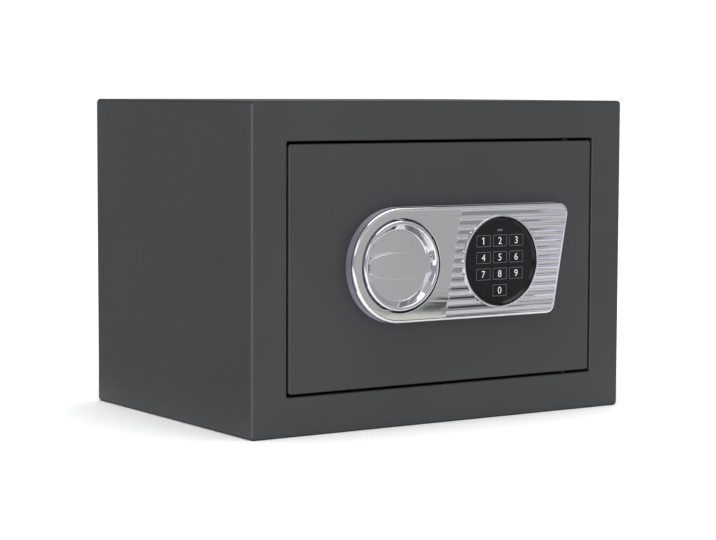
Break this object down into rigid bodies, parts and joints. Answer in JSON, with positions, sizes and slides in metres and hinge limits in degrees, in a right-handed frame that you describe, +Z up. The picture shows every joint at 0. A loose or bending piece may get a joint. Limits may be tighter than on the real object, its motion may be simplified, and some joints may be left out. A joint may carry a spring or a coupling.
{
  "type": "electronic security safe",
  "caption": "Sheet steel home safe with a flush door on hidden pivots, a chrome turn knob that throws the bolts, and a round keypad on a ribbed chrome lock plate.",
  "frame": {"origin": "centre of the underside of the cabinet's base, without the lock plate that stands out in front", "axes": "+Z up, the door faces -Y, +X along the width towards the hinge side"},
  "size_m": [0.35, 0.2618, 0.25],
  "materials": {
    "powder_coat": "fine satin powder coat",
    "zinc_steel": "zinc plated",
    "bright_steel": "turned and nickel plated",
    "chrome_plate": "polished",
    "nylon": "moulded",
    "black_nylon": "moulded",
    "black_abs": "fine texture",
    "gloss_black": "polished",
    "key_black": "polished, printed figures",
    "silicone": "moulded",
    "circuit_board": "solder mask",
    "led_lens": "smoked lens",
    "copper_winding": "enamelled wire",
    "cell_jacket": "shrink sleeve",
    "red_plastic": "moulded"
  },
  "bodies": {
    "cabinet": {"front_frame": "powder_coat", "body_wrap": "powder_coat", "back_panel": "powder_coat", "stop_tabs": "powder_coat", "hinge_plate_upper": "powder_coat", "hinge_plate_lower": "powder_coat", "hinge_pin_upper": "zinc_steel", "hinge_pin_lower": "zinc_steel", "hinge_spacer_upper": "black_nylon", "hinge_spacer_lower": "black_nylon"},
    "door": {"door_plate": "powder_coat", "door_pan": "powder_coat", "inner_cover": "powder_coat", "hinge_block_upper": "powder_coat", "hinge_block_lower": "powder_coat", "bolt_bushes": "nylon", "guide_posts": "zinc_steel", "guide_washers": "zinc_steel", "guide_nuts": "zinc_steel", "spindle_bush": "nylon", "solenoid_frame": "zinc_steel", "solenoid_coil": "copper_winding", "solenoid_screws": "zinc_steel", "lock_plate": "chrome_plate", "plate_screws": "zinc_steel", "keypad_cup": "black_abs", "keypad_board": "circuit_board", "key_mat": "silicone", "keypad_face": "gloss_black", "status_led": "led_lens", "keypad_bezel": "chrome_plate", "cover_screws": "zinc_steel", "battery_box": "black_abs", "battery_cells": "cell_jacket", "battery_contacts": "bright_steel", "reset_board": "circuit_board"},
    "knob_set": {"knob": "chrome_plate", "spindle": "zinc_steel", "crank": "zinc_steel", "roll_pin": "zinc_steel"},
    "bolt_work": {"bolt_carrier": "zinc_steel", "lock_bolt_upper": "bright_steel", "lock_bolt_lower": "bright_steel", "bolt_nuts": "zinc_steel"},
    "plunger": {"solenoid_plunger": "zinc_steel"},
    "lid": {"battery_lid": "black_abs"},
    "reset": {"reset_button": "red_plastic"},
    "key_0_cap": {"key_0": "key_black"},
    "key_1_cap": {"key_1": "key_black"},
    "key_2_cap": {"key_2": "key_black"},
    "key_3_cap": {"key_3": "key_black"},
    "key_4_cap": {"key_4": "key_black"},
    "key_5_cap": {"key_5": "key_black"},
    "key_6_cap": {"key_6": "key_black"},
    "key_7_cap": {"key_7": "key_black"},
    "key_8_cap": {"key_8": "key_black"},
    "key_9_cap": {"key_9": "key_black"}
  },
  "joints": [
    {"name": "door_hinge", "type": "hinge", "parent": "cabinet", "child": "door", "pos_m": [0.121, -0.117, 0.125], "axis": [0, 0, 1], "range_deg": [0, 105]},
    {"name": "knob_turn", "type": "hinge", "parent": "door", "child": "knob_set", "pos_m": [-0.0486, -0.125, 0.125], "axis": [0, -1, 0], "range_deg": [0, 90]},
    {"name": "bolt_slide", "type": "slide", "parent": "door", "child": "bolt_work", "axis": [-1, 0, 0], "range_m": [0, 0.02122]},
    {"name": "plunger_slide", "type": "slide", "parent": "door", "child": "plunger", "axis": [0, 1, 0], "range_m": [0, 0.004]},
    {"name": "lid_slide", "type": "slide", "parent": "door", "child": "lid", "axis": [-1, 0, 0], "range_m": [0, 0.062]},
    {"name": "reset_press", "type": "slide", "parent": "door", "child": "reset", "axis": [0, -1, 0], "range_m": [0, 0.0008], "stiffness_N_per_m": 600},
    {"name": "key_0_press", "type": "slide", "parent": "door", "child": "key_0_cap", "axis": [0, 1, 0], "range_m": [0, 0.0008], "stiffness_N_per_m": 800},
    {"name": "key_1_press", "type": "slide", "parent": "door", "child": "key_1_cap", "axis": [0, 1, 0], "range_m": [0, 0.0008], "stiffness_N_per_m": 800},
    {"name": "key_2_press", "type": "slide", "parent": "door", "child": "key_2_cap", "axis": [0, 1, 0], "range_m": [0, 0.0008], "stiffness_N_per_m": 800},
    {"name": "key_3_press", "type": "slide", "parent": "door", "child": "key_3_cap", "axis": [0, 1, 0], "range_m": [0, 0.0008], "stiffness_N_per_m": 800},
    {"name": "key_4_press", "type": "slide", "parent": "door", "child": "key_4_cap", "axis": [0, 1, 0], "range_m": [0, 0.0008], "stiffness_N_per_m": 800},
    {"name": "key_5_press", "type": "slide", "parent": "door", "child": "key_5_cap", "axis": [0, 1, 0], "range_m": [0, 0.0008], "stiffness_N_per_m": 800},
    {"name": "key_6_press", "type": "slide", "parent": "door", "child": "key_6_cap", "axis": [0, 1, 0], "range_m": [0, 0.0008], "stiffness_N_per_m": 800},
    {"name": "key_7_press", "type": "slide", "parent": "door", "child": "key_7_cap", "axis": [0, 1, 0], "range_m": [0, 0.0008], "stiffness_N_per_m": 800},
    {"name": "key_8_press", "type": "slide", "parent": "door", "child": "key_8_cap", "axis": [0, 1, 0], "range_m": [0, 0.0008], "stiffness_N_per_m": 800},
    {"name": "key_9_press", "type": "slide", "parent": "door", "child": "key_9_cap", "axis": [0, 1, 0], "range_m": [0, 0.0008], "stiffness_N_per_m": 800}
  ],
  "couplings": [
    {"joint": "bolt_slide", "follows": "knob_turn", "m_per_rad": 0.013505}
  ]
}
